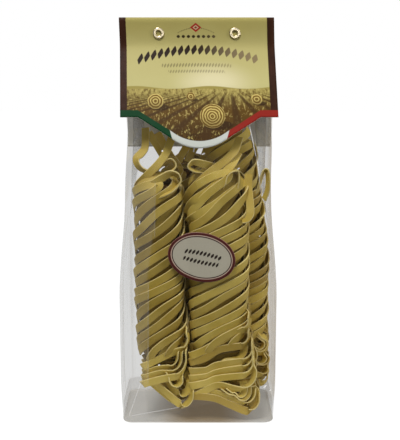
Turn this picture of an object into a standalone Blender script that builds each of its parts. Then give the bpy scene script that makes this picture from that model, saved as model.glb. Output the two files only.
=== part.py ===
"""Clear block-bottom bag of twisted pasta hanks, closed by a folded card header with two eyelets.

Metres, +Z up. The printed front faces -Y, and the origin is under the middle of the flat base.
Every sub-part is one closed solid: the filled bag, the card, the oval label and each eyelet.
"""
import math

import bmesh
import bpy
import numpy as np

MM = 0.001

# Bag: a flat base, upright walls, and a wedge that closes to a flat seal inside the card
BASE_HALF_WIDTH = 60.3 * MM
BELLY_HALF_WIDTH = 61.6 * MM
NECK_HALF_WIDTH = 57.0 * MM
SEAL_HALF_WIDTH = 58.2 * MM
BELLY_BOTTOM = 36 * MM
BELLY_TOP = 100 * MM
NECK_BOTTOM = 178 * MM
NECK_TOP = 222 * MM
BASE_HALF_DEPTH = 34.8 * MM
BODY_HALF_DEPTH = 35.6 * MM
BODY_BOTTOM = 26 * MM
BASE_EDGE_RADIUS = 1.8 * MM
CORNER_RADIUS = 7 * MM
CORNER_MAX_SHARE = 0.8
FACE_SHARE = 0.75
BAG_TOP = 313.5 * MM
SEAL_HALF_DEPTH = 0.6 * MM
WEDGE_TIP = 296 * MM
WEDGE_SLOPE = 0.47
WEDGE_TIP_ROUNDING = 4 * MM
SHOULDER_ROUNDING = 6 * MM
SHOULDER_BOTTOM = 150 * MM
SHOULDER_TOP = 200 * MM

# Side gussets: a fold that goes inwards, deepest just under the card
GUSSET_BOTTOM = 128 * MM
GUSSET_FULL = 250 * MM
GUSSET_FADE = 262 * MM
GUSSET_TOP = 292 * MM
GUSSET_DEPTH = 14 * MM

# Hanks in the bag, two in front and two behind: each one's middle and half its width
FRONT_HANKS = ((-30.5 * MM, 19.5 * MM), (16.2 * MM, 23.4 * MM))
BACK_HANKS = ((-13 * MM, 22 * MM), (38 * MM, 20.6 * MM))

# Bulges: the film stands out where a hank presses on it and dips between two
HANK_HALF_PITCH = 23.5 * MM
BULGE = 1.3 * MM
BULGE_DIP = -0.6
BULGE_RISE = (4 * MM, 40 * MM)
BULGE_FADE = (150 * MM, 226 * MM)

# Hollows: where no hank stands behind the clear film, the solid falls back and shows the hanks' sides
HOLLOW_DEPTH = 12 * MM
HOLLOW_SIDE = (-5 * MM, 1 * MM)
HOLLOW_CORNER = (2.5 * MM, 6 * MM)
HOLLOW_RISE = (5 * MM, 14 * MM)
HOLLOW_FADE = (188 * MM, 224 * MM)

# Rings of the bag: lowest, highest and number of each zone, then the turns into the seal
RING_ZONES = ((8 * MM, 14 * MM, 2), (22 * MM, 40 * MM, 3), (60 * MM, 100 * MM, 3), (114 * MM, 179 * MM, 6),
              (186 * MM, 231 * MM, 6), (244 * MM, 288 * MM, 5))
SEAL_RINGS = (293 * MM, 296 * MM, 299 * MM, 302 * MM, 309 * MM)

# Card: one sheet folded over the seal, its front edge dipping to a rounded point
CARD_THICKNESS = 0.5 * MM
CARD_HALF_WIDTH = 59.9 * MM
CARD_TOP = 317.5 * MM
CARD_REACH = 37.6 * MM
CARD_REACH_ROUNDING = 3 * MM
EAR_HEIGHT = 242.2 * MM
EAR_HALF_SPAN = 46.5 * MM
DIP_HALF_SPAN = 21 * MM
DIP_EDGE_HEIGHT = 226.6 * MM
DIP_HEIGHT = 219.6 * MM
BACK_EDGE_HEIGHT = 214.8 * MM

# The closed top tips a little to the left
LEAN = -0.03
LEAN_PIVOT = 275 * MM
LEAN_RISE = (190 * MM, 240 * MM)

# Label: a thin oval on the front film, turned clockwise
LABEL_HALF_WIDTH = 26.2 * MM
LABEL_HALF_HEIGHT = 19.2 * MM
LABEL_THICKNESS = 0.4 * MM
LABEL_CENTRE_X = 2.8 * MM
LABEL_CENTRE_Z = 136 * MM
LABEL_TURN = math.radians(-12)

# Eyelets: rolled rings through the card and the seal
EYELET_CENTRES_X = {"eyelet_left": -30.6 * MM, "eyelet_right": 28.4 * MM}
EYELET_Z = 305.4 * MM
EYELET_RADIUS = 4.35 * MM
EYELET_HOLE_RADIUS = 1.95 * MM
EYELET_WALL = 0.5 * MM
EYELET_ROLL = 0.75 * MM
EYELET_HALF_GRIP = 2.15 * MM
CUTTER_LENGTH = 12 * MM

# Gap that touching solids keep
GAP = 0.3 * MM


def smooth_min(a, b, rounding):
    """The smaller of a and b, with the corner where they cross rounded off."""
    return 0.5 * (a + b - np.sqrt((a - b) ** 2 + rounding ** 2))


def ease(value, low, high):
    """Cubic step from 0 at low to 1 at high."""
    t = np.clip((value - low) / (high - low), 0, 1)
    return t * t * (3 - 2 * t)


def lean(z):
    """Sideways shift of the closed top."""
    return LEAN * (z - LEAN_PIVOT) * ease(z, *LEAN_RISE)


def base_round(z):
    """How far the bottom edge is drawn in by its rounding."""
    rise = np.clip(z / BASE_EDGE_RADIUS, 0, 1)
    return BASE_EDGE_RADIUS * (1 - np.sqrt(1 - (1 - rise) ** 2))


def wedge_half_depth(z):
    """Half the thickness of the closing wedge: the seal's, then a straight spread below its tip."""
    fall = WEDGE_TIP - z
    return SEAL_HALF_DEPTH + WEDGE_SLOPE * 0.5 * (np.sqrt(fall ** 2 + WEDGE_TIP_ROUNDING ** 2) + fall)


def bag_half_depth(z):
    """Half the bag's depth: the wedge above, near upright walls below."""
    body = BASE_HALF_DEPTH + (BODY_HALF_DEPTH - BASE_HALF_DEPTH) * ease(z, 0, BODY_BOTTOM)
    rounding = SHOULDER_ROUNDING * ease(z, SHOULDER_BOTTOM, SHOULDER_TOP)
    return smooth_min(wedge_half_depth(z), body, rounding) - base_round(z)


def bag_half_width(z):
    """Half the bag's width: base, belly, neck and seal, eased into each other."""
    half = BASE_HALF_WIDTH + (BELLY_HALF_WIDTH - BASE_HALF_WIDTH) * ease(z, 0, BELLY_BOTTOM)
    half += (NECK_HALF_WIDTH - BELLY_HALF_WIDTH) * ease(z, BELLY_TOP, NECK_BOTTOM)
    half += (SEAL_HALF_WIDTH - NECK_HALF_WIDTH) * ease(z, NECK_TOP, WEDGE_TIP)
    return half - base_round(z)


def bulge(x, z, hanks):
    """Outward swell of the film over the hanks, none at the base or under the card."""
    near = np.min([np.abs(x - middle) for middle, half_width in hanks], axis=0) / HANK_HALF_PITCH
    swell = np.clip(1 - near ** 2, BULGE_DIP, 1)
    return BULGE * swell * ease(z, *BULGE_RISE) * (1 - ease(z, *BULGE_FADE))


def hollow(x, z, hanks):
    """How far the solid falls back beside and between the hanks, none at the bag's corners."""
    beyond = np.min([np.abs(x - middle) - half_width for middle, half_width in hanks], axis=0)
    from_corner = bag_half_width(z) - np.abs(x)
    share = ease(beyond, *HOLLOW_SIDE) * ease(from_corner, *HOLLOW_CORNER)
    return HOLLOW_DEPTH * share * ease(z, *HOLLOW_RISE) * (1 - ease(z, *HOLLOW_FADE))


def gusset_depth(z):
    """How far the middle of each side is folded inwards."""
    return GUSSET_DEPTH * ease(z, GUSSET_BOTTOM, GUSSET_FULL) * (1 - ease(z, GUSSET_FADE, GUSSET_TOP))


def corner_points(centre_x, centre_y, radius, start, steps=4):
    """A quarter arc, without its last point."""
    angle = start + np.linspace(0, math.pi / 2, steps, endpoint=False)
    return np.stack([centre_x + radius * np.cos(angle), centre_y + radius * np.sin(angle)], axis=1)


def side_points(start, end, steps):
    """A straight run, without its last point."""
    share = np.linspace(0, 1, steps, endpoint=False)[:, None]
    return (1 - share) * np.array(start) + share * np.array(end)


def bag_ring(z, face_steps=48, side_steps=6):
    """Points round the bag at one height, anticlockwise from the front left corner.

    A rounded rectangle whose front and back swell over the hanks and fall back beside them, and
    whose sides fold in to a V.
    """
    width = float(bag_half_width(z))
    depth = float(bag_half_depth(z))
    radius = min(CORNER_RADIUS, CORNER_MAX_SHARE * depth)
    flat_x = width - radius
    flat_y = depth - radius
    ring = np.concatenate([
        corner_points(-flat_x, -flat_y, radius, math.pi),
        side_points((-flat_x, -depth), (flat_x, -depth), face_steps),
        corner_points(flat_x, -flat_y, radius, 1.5 * math.pi),
        side_points((width, -flat_y), (width, flat_y), side_steps),
        corner_points(flat_x, flat_y, radius, 0),
        side_points((flat_x, depth), (-flat_x, depth), face_steps),
        corner_points(-flat_x, flat_y, radius, 0.5 * math.pi),
        side_points((-width, flat_y), (-width, -flat_y), side_steps),
    ])
    x, y = ring.T
    share = np.abs(y) / depth
    front = bulge(x, z, FRONT_HANKS) - hollow(x, z, FRONT_HANKS)
    back = bulge(x, z, BACK_HANKS) - hollow(x, z, BACK_HANKS)
    relief = np.where(y < 0, front, back) * ease(share, FACE_SHARE, 1)
    fold = np.where(np.abs(x) > flat_x, gusset_depth(z) * (1 - share), 0)
    return np.stack([
        x - np.sign(x) * fold + lean(z),
        y + np.sign(y) * relief,
        np.full_like(x, z),
    ], axis=1)


def bag_heights():
    """Heights of the bag's rings, closer together where its outline turns."""
    rounding = BASE_EDGE_RADIUS * (1 - np.cos(np.linspace(0, math.pi / 2, 4)))
    zones = [np.linspace(*zone) for zone in RING_ZONES]
    return np.concatenate([rounding, *zones, SEAL_RINGS, [BAG_TOP]])


def grid_mesh(name, points, wrap):
    """A mesh of quads through a grid of points, with its columns joined into rings if wrap is set."""
    rows, columns = points.shape[:2]
    index = np.arange(rows * columns).reshape(rows, columns)
    if wrap:
        index = np.concatenate([index, index[:, :1]], axis=1)
    quads = np.stack([index[:-1, :-1], index[:-1, 1:], index[1:, 1:], index[1:, :-1]], axis=-1)
    mesh = bpy.data.meshes.new(name)
    mesh.from_pydata(points.reshape(-1, 3).tolist(), [], quads.reshape(-1, 4).tolist())
    return mesh


def add_object(name, mesh, material, collection):
    """Link a mesh as one smooth-shaded object with one material."""
    part = bpy.data.objects.new(name, mesh)
    collection.objects.link(part)
    mesh.materials.append(material)
    mesh.shade_smooth()
    mesh.set_sharp_from_angle(angle=math.radians(35))
    return part


def add_material(name, colour, roughness, metallic=0.0):
    """A Principled material of one colour."""
    material = bpy.data.materials.new(name)
    material.use_nodes = True
    shader = material.node_tree.nodes["Principled BSDF"]
    shader.inputs["Base Color"].default_value = (*colour, 1)
    shader.inputs["Roughness"].default_value = roughness
    shader.inputs["Metallic"].default_value = metallic
    return material


def make_bag(collection):
    """The filled bag: rings lofted from the base to the seal, with both ends capped."""
    rings = np.array([bag_ring(z) for z in bag_heights()])
    mesh = grid_mesh("bag", rings, wrap=True)
    model = bmesh.new()
    model.from_mesh(mesh)
    rims = [edge for edge in model.edges if edge.is_boundary]
    bmesh.ops.holes_fill(model, edges=rims, sides=0)
    bmesh.ops.recalc_face_normals(model, faces=model.faces)
    model.to_mesh(mesh)
    model.free()
    film = add_material("clear film", (0.62, 0.52, 0.28), 0.25)
    return add_object("bag", mesh, film, collection)


def card_inner_half(z):
    """Half the gap inside the card: it lies on the wedge and stops at its own reach."""
    return smooth_min(wedge_half_depth(z), CARD_REACH, CARD_REACH_ROUNDING) + GAP


def card_front_edge(x):
    """Height of the front flap's lower edge: level ears, straight slopes and a round dip."""
    distance = np.abs(x)
    slope_share = np.clip((EAR_HALF_SPAN - distance) / (EAR_HALF_SPAN - DIP_HALF_SPAN), 0, 1)
    slope = EAR_HEIGHT + (DIP_EDGE_HEIGHT - EAR_HEIGHT) * slope_share
    sagitta = DIP_EDGE_HEIGHT - DIP_HEIGHT
    radius = (DIP_HALF_SPAN ** 2 + sagitta ** 2) / (2 * sagitta)
    inside = np.minimum(distance, DIP_HALF_SPAN)
    arc = DIP_HEIGHT + radius - np.sqrt(radius ** 2 - inside ** 2)
    return np.where(distance < DIP_HALF_SPAN, arc, slope)


def make_card(collection, front_rows=13, fold_rows=6, back_rows=11):
    """The card header: one surface up the front, over the fold and down the back, then thickened."""
    ears = np.linspace(EAR_HALF_SPAN, CARD_HALF_WIDTH, 4)
    slopes = np.linspace(DIP_HALF_SPAN, EAR_HALF_SPAN, 6)
    dip = np.linspace(-DIP_HALF_SPAN, DIP_HALF_SPAN, 15)
    x = np.unique(np.concatenate([-ears, -slopes, dip, slopes, ears]).round(9))
    fold_height = BAG_TOP + GAP
    fold_half = float(card_inner_half(fold_height))
    fold_rise = CARD_TOP - CARD_THICKNESS - fold_height
    front_share = np.linspace(0, 1, front_rows)[:, None]
    front_z = card_front_edge(x) + (fold_height - card_front_edge(x)) * front_share
    angle = np.linspace(0, math.pi, fold_rows + 2)[1:-1, None]
    fold_z = fold_height + fold_rise * np.sin(angle) + 0 * x
    back_share = np.linspace(1, 0, back_rows)[:, None]
    back_z = BACK_EDGE_HEIGHT + (fold_height - BACK_EDGE_HEIGHT) * back_share + 0 * x
    z = np.concatenate([front_z, fold_z, back_z])
    y = np.concatenate([-card_inner_half(front_z), -fold_half * np.cos(angle) + 0 * x, card_inner_half(back_z)])
    points = np.stack([x + lean(z), y, z], axis=-1)
    paper = add_material("printed card", (0.55, 0.47, 0.22), 0.5)
    card = add_object("header_card", grid_mesh("header_card", points, wrap=False), paper, collection)
    thick = card.modifiers.new("thickness", "SOLIDIFY")
    thick.thickness = CARD_THICKNESS
    thick.offset = 1
    thick.use_even_offset = True
    return card


def make_label(collection, rings=5, spokes=40):
    """The oval label: circles of points stretched to an ellipse, turned, and laid on the front."""
    radius = np.linspace(0, 1, rings + 1)[1:, None]
    angle = np.linspace(0, 2 * math.pi, spokes, endpoint=False)
    across = LABEL_HALF_WIDTH * radius * np.cos(angle)
    up = LABEL_HALF_HEIGHT * radius * np.sin(angle)
    x = LABEL_CENTRE_X + across * math.cos(LABEL_TURN) - up * math.sin(LABEL_TURN)
    z = LABEL_CENTRE_Z + across * math.sin(LABEL_TURN) + up * math.cos(LABEL_TURN)
    y = -(bag_half_depth(z) + bulge(x, z, FRONT_HANKS) + GAP)
    mesh = grid_mesh("label", np.stack([x, y, z], axis=-1), wrap=True)
    model = bmesh.new()
    model.from_mesh(mesh)
    model.verts.ensure_lookup_table()
    middle = model.faces.new([model.verts[index] for index in range(spokes)])
    bmesh.ops.poke(model, faces=[middle])
    bmesh.ops.recalc_face_normals(model, faces=model.faces)
    model.faces.ensure_lookup_table()
    if model.faces[0].normal.y > 0:
        bmesh.ops.reverse_faces(model, faces=model.faces)
    model.to_mesh(mesh)
    model.free()
    print_face = add_material("printed label", (0.28, 0.22, 0.18), 0.4)
    label = add_object("label", mesh, print_face, collection)
    thick = label.modifiers.new("thickness", "SOLIDIFY")
    thick.thickness = LABEL_THICKNESS
    thick.offset = 1
    return label


def eyelet_profile(arc_steps=4):
    """Radius and height round one eyelet's section: up the bore, over the rolled lip and down outside."""
    quarter = np.linspace(0, math.pi / 2, arc_steps)
    inner = np.stack([
        EYELET_HOLE_RADIUS + EYELET_ROLL * (1 - np.cos(quarter)),
        EYELET_HALF_GRIP + EYELET_ROLL * np.sin(quarter),
    ], axis=1)
    outer = np.stack([
        EYELET_RADIUS - EYELET_ROLL * (1 - np.sin(quarter)),
        EYELET_HALF_GRIP + EYELET_ROLL * np.cos(quarter),
    ], axis=1)
    neck = np.array([[EYELET_HOLE_RADIUS + EYELET_WALL, EYELET_HALF_GRIP]])
    upper = np.concatenate([inner, outer, neck])
    return np.concatenate([upper, upper[::-1] * (1, -1)])


def make_eyelet(name, x, collection, material):
    """One eyelet: its section turned about its axis, which then points along Y."""
    profile = eyelet_profile()
    count = len(profile)
    mesh = bpy.data.meshes.new(name)
    points = [(radius, 0, height) for radius, height in profile.tolist()]
    mesh.from_pydata(points, [(i, (i + 1) % count) for i in range(count)], [])
    eyelet = add_object(name, mesh, material, collection)
    eyelet.location = (x, 0, EYELET_Z)
    eyelet.rotation_euler = (math.pi / 2, 0, 0)
    turn = eyelet.modifiers.new("turn", "SCREW")
    turn.axis = "Z"
    turn.angle = 2 * math.pi
    turn.steps = 24
    turn.render_steps = 24
    turn.merge_threshold = 0.0001
    return eyelet


def make_cutter(name, x, collection):
    """A cylinder along Y that clears one eyelet's barrel."""
    bpy.ops.mesh.primitive_cylinder_add(
        vertices=24, radius=EYELET_HOLE_RADIUS + EYELET_WALL + GAP, depth=CUTTER_LENGTH,
        location=(x, 0, EYELET_Z), rotation=(math.pi / 2, 0, 0))
    cutter = bpy.context.object
    cutter.name = name
    for holder in list(cutter.users_collection):
        holder.objects.unlink(cutter)
    collection.objects.link(cutter)
    cutter.hide_render = True
    cutter.display_type = "WIRE"
    return cutter


def cut(part, cutter):
    """Cut one hole through a part."""
    hole = part.modifiers.new(cutter.name, "BOOLEAN")
    hole.operation = "DIFFERENCE"
    hole.object = cutter


def main():
    for old in list(bpy.data.objects):
        bpy.data.objects.remove(old)
    pack = bpy.data.collections.new("pasta bag")
    cutters = bpy.data.collections.new("cutters")
    for collection in (pack, cutters):
        bpy.context.scene.collection.children.link(collection)
    bag = make_bag(pack)
    card = make_card(pack)
    make_label(pack)
    metal = add_material("pale gold metal", (0.75, 0.68, 0.5), 0.3, metallic=1.0)
    for name, x in EYELET_CENTRES_X.items():
        make_eyelet(name, x, pack, metal)
        cutter = make_cutter(name + "_hole", x, cutters)
        cut(bag, cutter)
        cut(card, cutter)


main()
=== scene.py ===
"""Looks of a clear block-bottom bag of twisted ribbon pasta nests under a folded printed card.

Metres, +Z up, printed front towards -Y. The film, the nests, the card, the label and the eyelets
are surfaces worked out on grids, each in the place of the plain solid that it stands for.
"""
import math
import bpy
import numpy as np
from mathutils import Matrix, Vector


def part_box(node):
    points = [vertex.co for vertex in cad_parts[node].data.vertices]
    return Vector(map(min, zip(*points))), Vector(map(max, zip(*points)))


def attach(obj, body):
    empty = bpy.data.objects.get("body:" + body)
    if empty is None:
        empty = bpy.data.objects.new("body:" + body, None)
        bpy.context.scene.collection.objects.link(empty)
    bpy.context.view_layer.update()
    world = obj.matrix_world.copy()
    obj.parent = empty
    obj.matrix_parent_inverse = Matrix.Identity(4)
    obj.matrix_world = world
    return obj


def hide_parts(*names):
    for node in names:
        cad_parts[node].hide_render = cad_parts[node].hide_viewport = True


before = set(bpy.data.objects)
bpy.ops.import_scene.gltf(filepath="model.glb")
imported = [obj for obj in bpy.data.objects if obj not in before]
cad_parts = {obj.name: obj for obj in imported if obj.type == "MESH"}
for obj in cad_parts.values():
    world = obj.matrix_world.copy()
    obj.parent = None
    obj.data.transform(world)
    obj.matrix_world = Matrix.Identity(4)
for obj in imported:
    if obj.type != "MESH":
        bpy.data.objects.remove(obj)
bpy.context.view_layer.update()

MM = 0.001

# Bag form, as the solid has it
BASE_HALF_WIDTH = 60.3 * MM
BELLY_HALF_WIDTH = 61.6 * MM
NECK_HALF_WIDTH = 57.0 * MM
SEAL_HALF_WIDTH = 58.2 * MM
BELLY_BOTTOM = 36 * MM
BELLY_TOP = 100 * MM
NECK_BOTTOM = 178 * MM
NECK_TOP = 222 * MM
BASE_HALF_DEPTH = 34.8 * MM
BODY_HALF_DEPTH = 35.6 * MM
BODY_BOTTOM = 26 * MM
BASE_EDGE_RADIUS = 1.8 * MM
CORNER_RADIUS = 7 * MM
SEAL_HALF_DEPTH = 0.6 * MM
WEDGE_TIP = 296 * MM
WEDGE_SLOPE = 0.47
WEDGE_TIP_ROUNDING = 4 * MM
SHOULDER_ROUNDING = 6 * MM
SHOULDER_BOTTOM = 150 * MM
SHOULDER_TOP = 200 * MM
GUSSET_BOTTOM = 128 * MM
GUSSET_FULL = 250 * MM
GUSSET_FADE = 262 * MM
GUSSET_TOP = 292 * MM
GUSSET_DEPTH = 14 * MM
HANK_HALF_PITCH = 23.5 * MM
FRONT_HANKS = (-30.5 * MM, 16.2 * MM)
BACK_HANKS = (-13 * MM, 38 * MM)
BULGE = 1.3 * MM
BULGE_DIP = -0.6
BULGE_RISE = (4 * MM, 40 * MM)
BULGE_FADE = (150 * MM, 226 * MM)
FILM_TOP = 301 * MM
LEAN = -0.03
LEAN_PIVOT = 275 * MM
LEAN_RISE = (190 * MM, 240 * MM)

# Card form
CARD_THICKNESS = 0.5 * MM
CARD_HALF_WIDTH = 59.9 * MM
CARD_TOP = 317.5 * MM
CARD_FOLD = 313.8 * MM
CARD_REACH = 37.6 * MM
CARD_REACH_ROUNDING = 3 * MM
EAR_HEIGHT = 242.2 * MM
EAR_HALF_SPAN = 46.5 * MM
DIP_HALF_SPAN = 21 * MM
DIP_EDGE_HEIGHT = 226.6 * MM
DIP_HEIGHT = 219.6 * MM
BACK_EDGE_HEIGHT = 214.8 * MM
GAP = 0.3 * MM

# Label and eyelets
LABEL_HALF_WIDTH = 26.2 * MM
LABEL_HALF_HEIGHT = 19.2 * MM
LABEL_THICKNESS = 0.4 * MM
LABEL_CENTRE_X = 2.8 * MM
LABEL_CENTRE_Z = 136 * MM
LABEL_TURN = math.radians(-12)
EYELET_RADIUS = 4.35 * MM
EYELET_HOLE_RADIUS = 1.95 * MM
EYELET_ROLL = 0.75 * MM
EYELET_HALF_GRIP = 2.15 * MM

# Film: the fold of a strip down its front left as points (x, z), which gets painted sheen, and pale strokes
# that are painted highlights along creases and painted glints, all in millimetres. A stroke is its two ends
# (x, z), its width and how pale it is.
FRONT_FOLD = ((-40, 20), (-38.5, 120), (-33, 160), (-32.5, 200))
PAINTED_CREASE_HIGHLIGHTS_AND_GLINTS = (
    ((-39.6, 30), (-38.4, 120), 0.9, 0.2),
    ((-33.2, 150), (-32.4, 196), 0.9, 0.14),
    ((-44, 38), (-55.5, 5), 0.8, 0.35),
    ((-55, 6), (-14, 14), 0.8, 0.3),
    ((38, 240), (44, 212), 0.9, 0.5),
    ((44, 213), (48, 184), 0.9, 0.3),
    ((52, 30), (54, 32), 1.6, 0.95),
    ((-44.6, 161.5), (-44.4, 164.5), 1.3, 0.9),
    ((-27.6, 217), (-26.2, 217.6), 1.3, 0.9),
    ((-31.4, 49.2), (-29.8, 49.9), 1.4, 0.9),
    ((56.4, 27.4), (57.8, 27.9), 1.2, 0.9),
    ((-3.4, 216.4), (-2.8, 219.6), 1.3, 0.9),
    ((2.8, 214.6), (5.2, 215.6), 1.2, 0.9),
    ((29.6, 203.4), (31.4, 204.6), 1.2, 0.8),
    ((46.6, 152), (47.8, 152.6), 1.2, 0.6),
)

# Film: where it is hazier or wrinkled, where painted sheen, painted shadow and painted shade lie and how
# much, then its ripples, haze and gloss
FRONT_FACE = -20 * MM
# Painted sheen: extra haze on the strip left of the front fold, standing in for the reflection that the
# angled film catches.
FOLD_PAINTED_SHEEN = 0.06
FOLD_STRIP = 1.2 * MM
FOLD_FADE = (185 * MM, 200 * MM)
BASE_FADE = (0.5 * MM, 2.2 * MM)
BASE_VEIL = 0.6
BASE_FLAP = 13 * MM
BASE_FLAP_FADE = 1 * MM
BASE_FLAP_VEIL = 0.28
BASE_FLAP_LAYERS = 0.35
# Painted shadow of the pasta on the base: darkest at this x, fading out between these distances from it.
PAINTED_SHADOW_MIDDLE = 6 * MM
PAINTED_SHADOW_FADE = (10 * MM, 45 * MM)
# Painted shade on the right side of the film: how much, from which x and above which heights.
RIGHT_SHADE = 0.22
RIGHT_SHADE_START = (52 * MM, 55 * MM)
RIGHT_SHADE_RISE = (14 * MM, 24 * MM)
WRINKLES_START = (53 * MM, 58 * MM)
WRINKLES_RISE = (4 * MM, 12 * MM)
WRINKLES_LEFT = 0.6
WRINKLES_RIGHT = 0.8
FINE_RIPPLE = 0.1
RIPPLE_HEIGHT = 1.2 * MM
HAZE = 0.002
FILM_IOR = 1.12
MIRROR_LIMIT = 0.12

# Print, in millimetres on the card and on the label
HORIZON = 263.3
GLOW_PLACE = (12, 268)
GLOW_SIZE = (38, 19)
VANISHING = (24, 267)
BALES = (((-33, 254), 6.2), ((-6, 257.5), 3.4), ((44, 255.5), 4.4), ((10, 243), 9.5))
# A row of leaves: middle, height, half length, drop at its ends, half height, pitch and slant
TITLE_ROWS = (
    ((0, 293, 47, 8, 4.0, 5.2, 0.3), 1.0),
    ((0, 293, 47, 8, 1.6, 2.6, 0.3), 0.9),
    ((-1, 281.3, 27, 0.6, 1.7, 2.3, 0.35), 0.45),
    ((-1, 276.6, 22, 0.4, 1.4, 2.1, 0.35), 0.4),
    ((-0.8, 303, 15.5, 0, 1.3, 3.9, 0.0), 0.95),
    ((-0.8, 309.5, 14.5, 4, 0.5, 1.3, 0.0), 0.6),
)
LOZENGE_PLACE = (-0.8, 309.8)
LOZENGE_SIZE = (4.6, 3.6)
LOZENGES = ((1.0, (0.26, 0.022, 0.016)), (0.52, (0.45, 0.36, 0.2)), (0.3, (0.16, 0.014, 0.01)))
BORDER_LEFT = (-54.9, -54.4)
BORDER_RIGHT = (54.0, 54.5)
PANEL_EDGE = (38, 38.6)
PANEL_BOTTOM = (232, 233)
PANEL_TOP = (292, 293)
DASH_PITCH = 3.4
BAND_HEIGHT = 5.2
BAND_CORNER = 20.6
LABEL_RINGS = ((3.7, (0.024, 0.008, 0.007)), (2.9, (0.42, 0.31, 0.24)), (2.2, (0.06, 0.010, 0.008)))
LABEL_ROWS = ((0.5, 3.2, 15, 1.2, 2.1, 2.9, 0.35), (0, -3.8, 14, -0.6, 2.0, 2.9, 0.35))

# Ribbons of pasta, and how a hank's loops of ribbon are laid. A layer is its share of the hank's
# radius and its number of loops.
RIBBON_WIDTH = 6.2 * MM
RIBBON_THICKNESS = 1.25 * MM
HANK_LAYERS = ((1.0, 4), (0.84, 4), (0.66, 4), (0.5, 3), (0.32, 2))
SECTION_POWER = 3.0
SECTION_SAMPLES = 1441
LAYER_STAGGER = 0.05
ANGLE_STRAY = 0.07
RADIUS_STRAY = 0.015
LEG_SAMPLES = 210
TURN_SAMPLES = 30
UPPER_TURN = 20 * MM
LOWER_TURN = 15 * MM
LOOP_LIFT = 21 * MM
TWIST_START = 8 * MM
TWIST_FULL = 34 * MM
TWIST_WOBBLES = ((0.12, 11 * MM), (0.1, 6.3 * MM))
SKEW_FULL = 12 * MM
SKEW_END = 45 * MM
FILM_CLEARANCE = 1 * MM
# Painted shade: how much darker the deepest loops of a hank are drawn.
INNER_PAINTED_SHADE = 2.2

# Hanks, in millimetres and degrees: the middle and half size of the level section, the heights of both
# ends, how far loops fall short of the top, the turn at the bottom, the heights of one whole twist from
# the bottom up, the slant of the lower end, the tilt of the ribbons over each other and the sideways
# shift (height, shift).
HANKS = (
    dict(name="hank_front_left", seed=3, place=(-30.5, -17.2), size=(19.5, 16.0), bottom=41, top=186,
         slack=12, turn=90, pitches=(60, 66, 74, 80, 92), skew=-0.2, lap=-0.2,
         shifts=((0, 2), (30, 2), (60, 1), (120, 0), (240, 0))),
    dict(name="hank_front_middle", seed=11, place=(16.2, -17.2), size=(23.4, 16.0), bottom=46, top=193,
         slack=20, turn=100, pitches=(60, 63, 69, 80, 104), skew=-0.2, lap=-0.18,
         shifts=((0, 1), (60, 1), (150, 0), (180, -1), (240, -4))),
    dict(name="hank_back_right", seed=23, place=(38, 17.2), size=(20.4, 15.6), bottom=36, top=225,
         slack=24, turn=60, pitches=(54, 58, 62, 68, 80), skew=0.0, lap=-0.32,
         shifts=((0, 0), (120, -0.5), (145, -1.6), (158, -4.3), (180, -7.7), (215, -13), (245, -16))),
    dict(name="hank_back_left", seed=31, place=(-13, 17.2), size=(22.0, 15.6), bottom=8, top=200,
         slack=24, turn=40, pitches=(60, 66, 74, 86, 100), skew=-0.3, lap=-0.22,
         shifts=((0, 0), (240, 0))),
)

# Turns of ribbon at the hanks' lower ends, in millimetres and degrees: the twist along the ribbon, the
# points (x, z) of its route, the middle, half size and sweep of its bend, and its depth from start to
# end.
LEFT_HOOKS = (
    ((8, 10, 5, 20), ((-43.8, 45.5), (-38, 48.5), (-24, 55.5)), (-16.8, 69), (9.1, 9.5), (-60, 30),
     (-30, -30)),
    ((8, 15, 60, 85), ((-41.5, 40), (-33, 43)), (-23.5, 55), (6.8, 10.5), (-90, 10), (-29, -29)),
    ((8, 15, 60, 85), ((-42.5, 36.5), (-31, 40)), (-23.5, 54.5), (9.8, 14), (-88, 10), (-30.5, -30)),
    ((8, 10, 20, 50), ((-43.4, 32), (-38.6, 33.5), (-27, 36.4)), (-20.7, 53), (11.3, 15.5), (-72, 20),
     (-32.5, -31)),
    ((80, 85), ((-26, 42), (-24, 38)), (-18.7, 36), (4.8, 6.4), (-165, 20), (-30, -30)),
    ((50, 60, 70), ((-34, 40), (-27, 35)), (-14.0, 31.5), (7.3, 9.8), (-140, 10), (-25, -29)),
    ((20, 30, 60), ((-38, 33), (-31, 28)), (-12.6, 23.5), (7.4, 10.2), (-130, 10), (-27, -30.5)),
    ((0, 0, 30), ((-42, 33), (-34, 27)), (-13.2, 21.4), (7, 10.8), (-125, 0), (-23, -26)),
)
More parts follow.
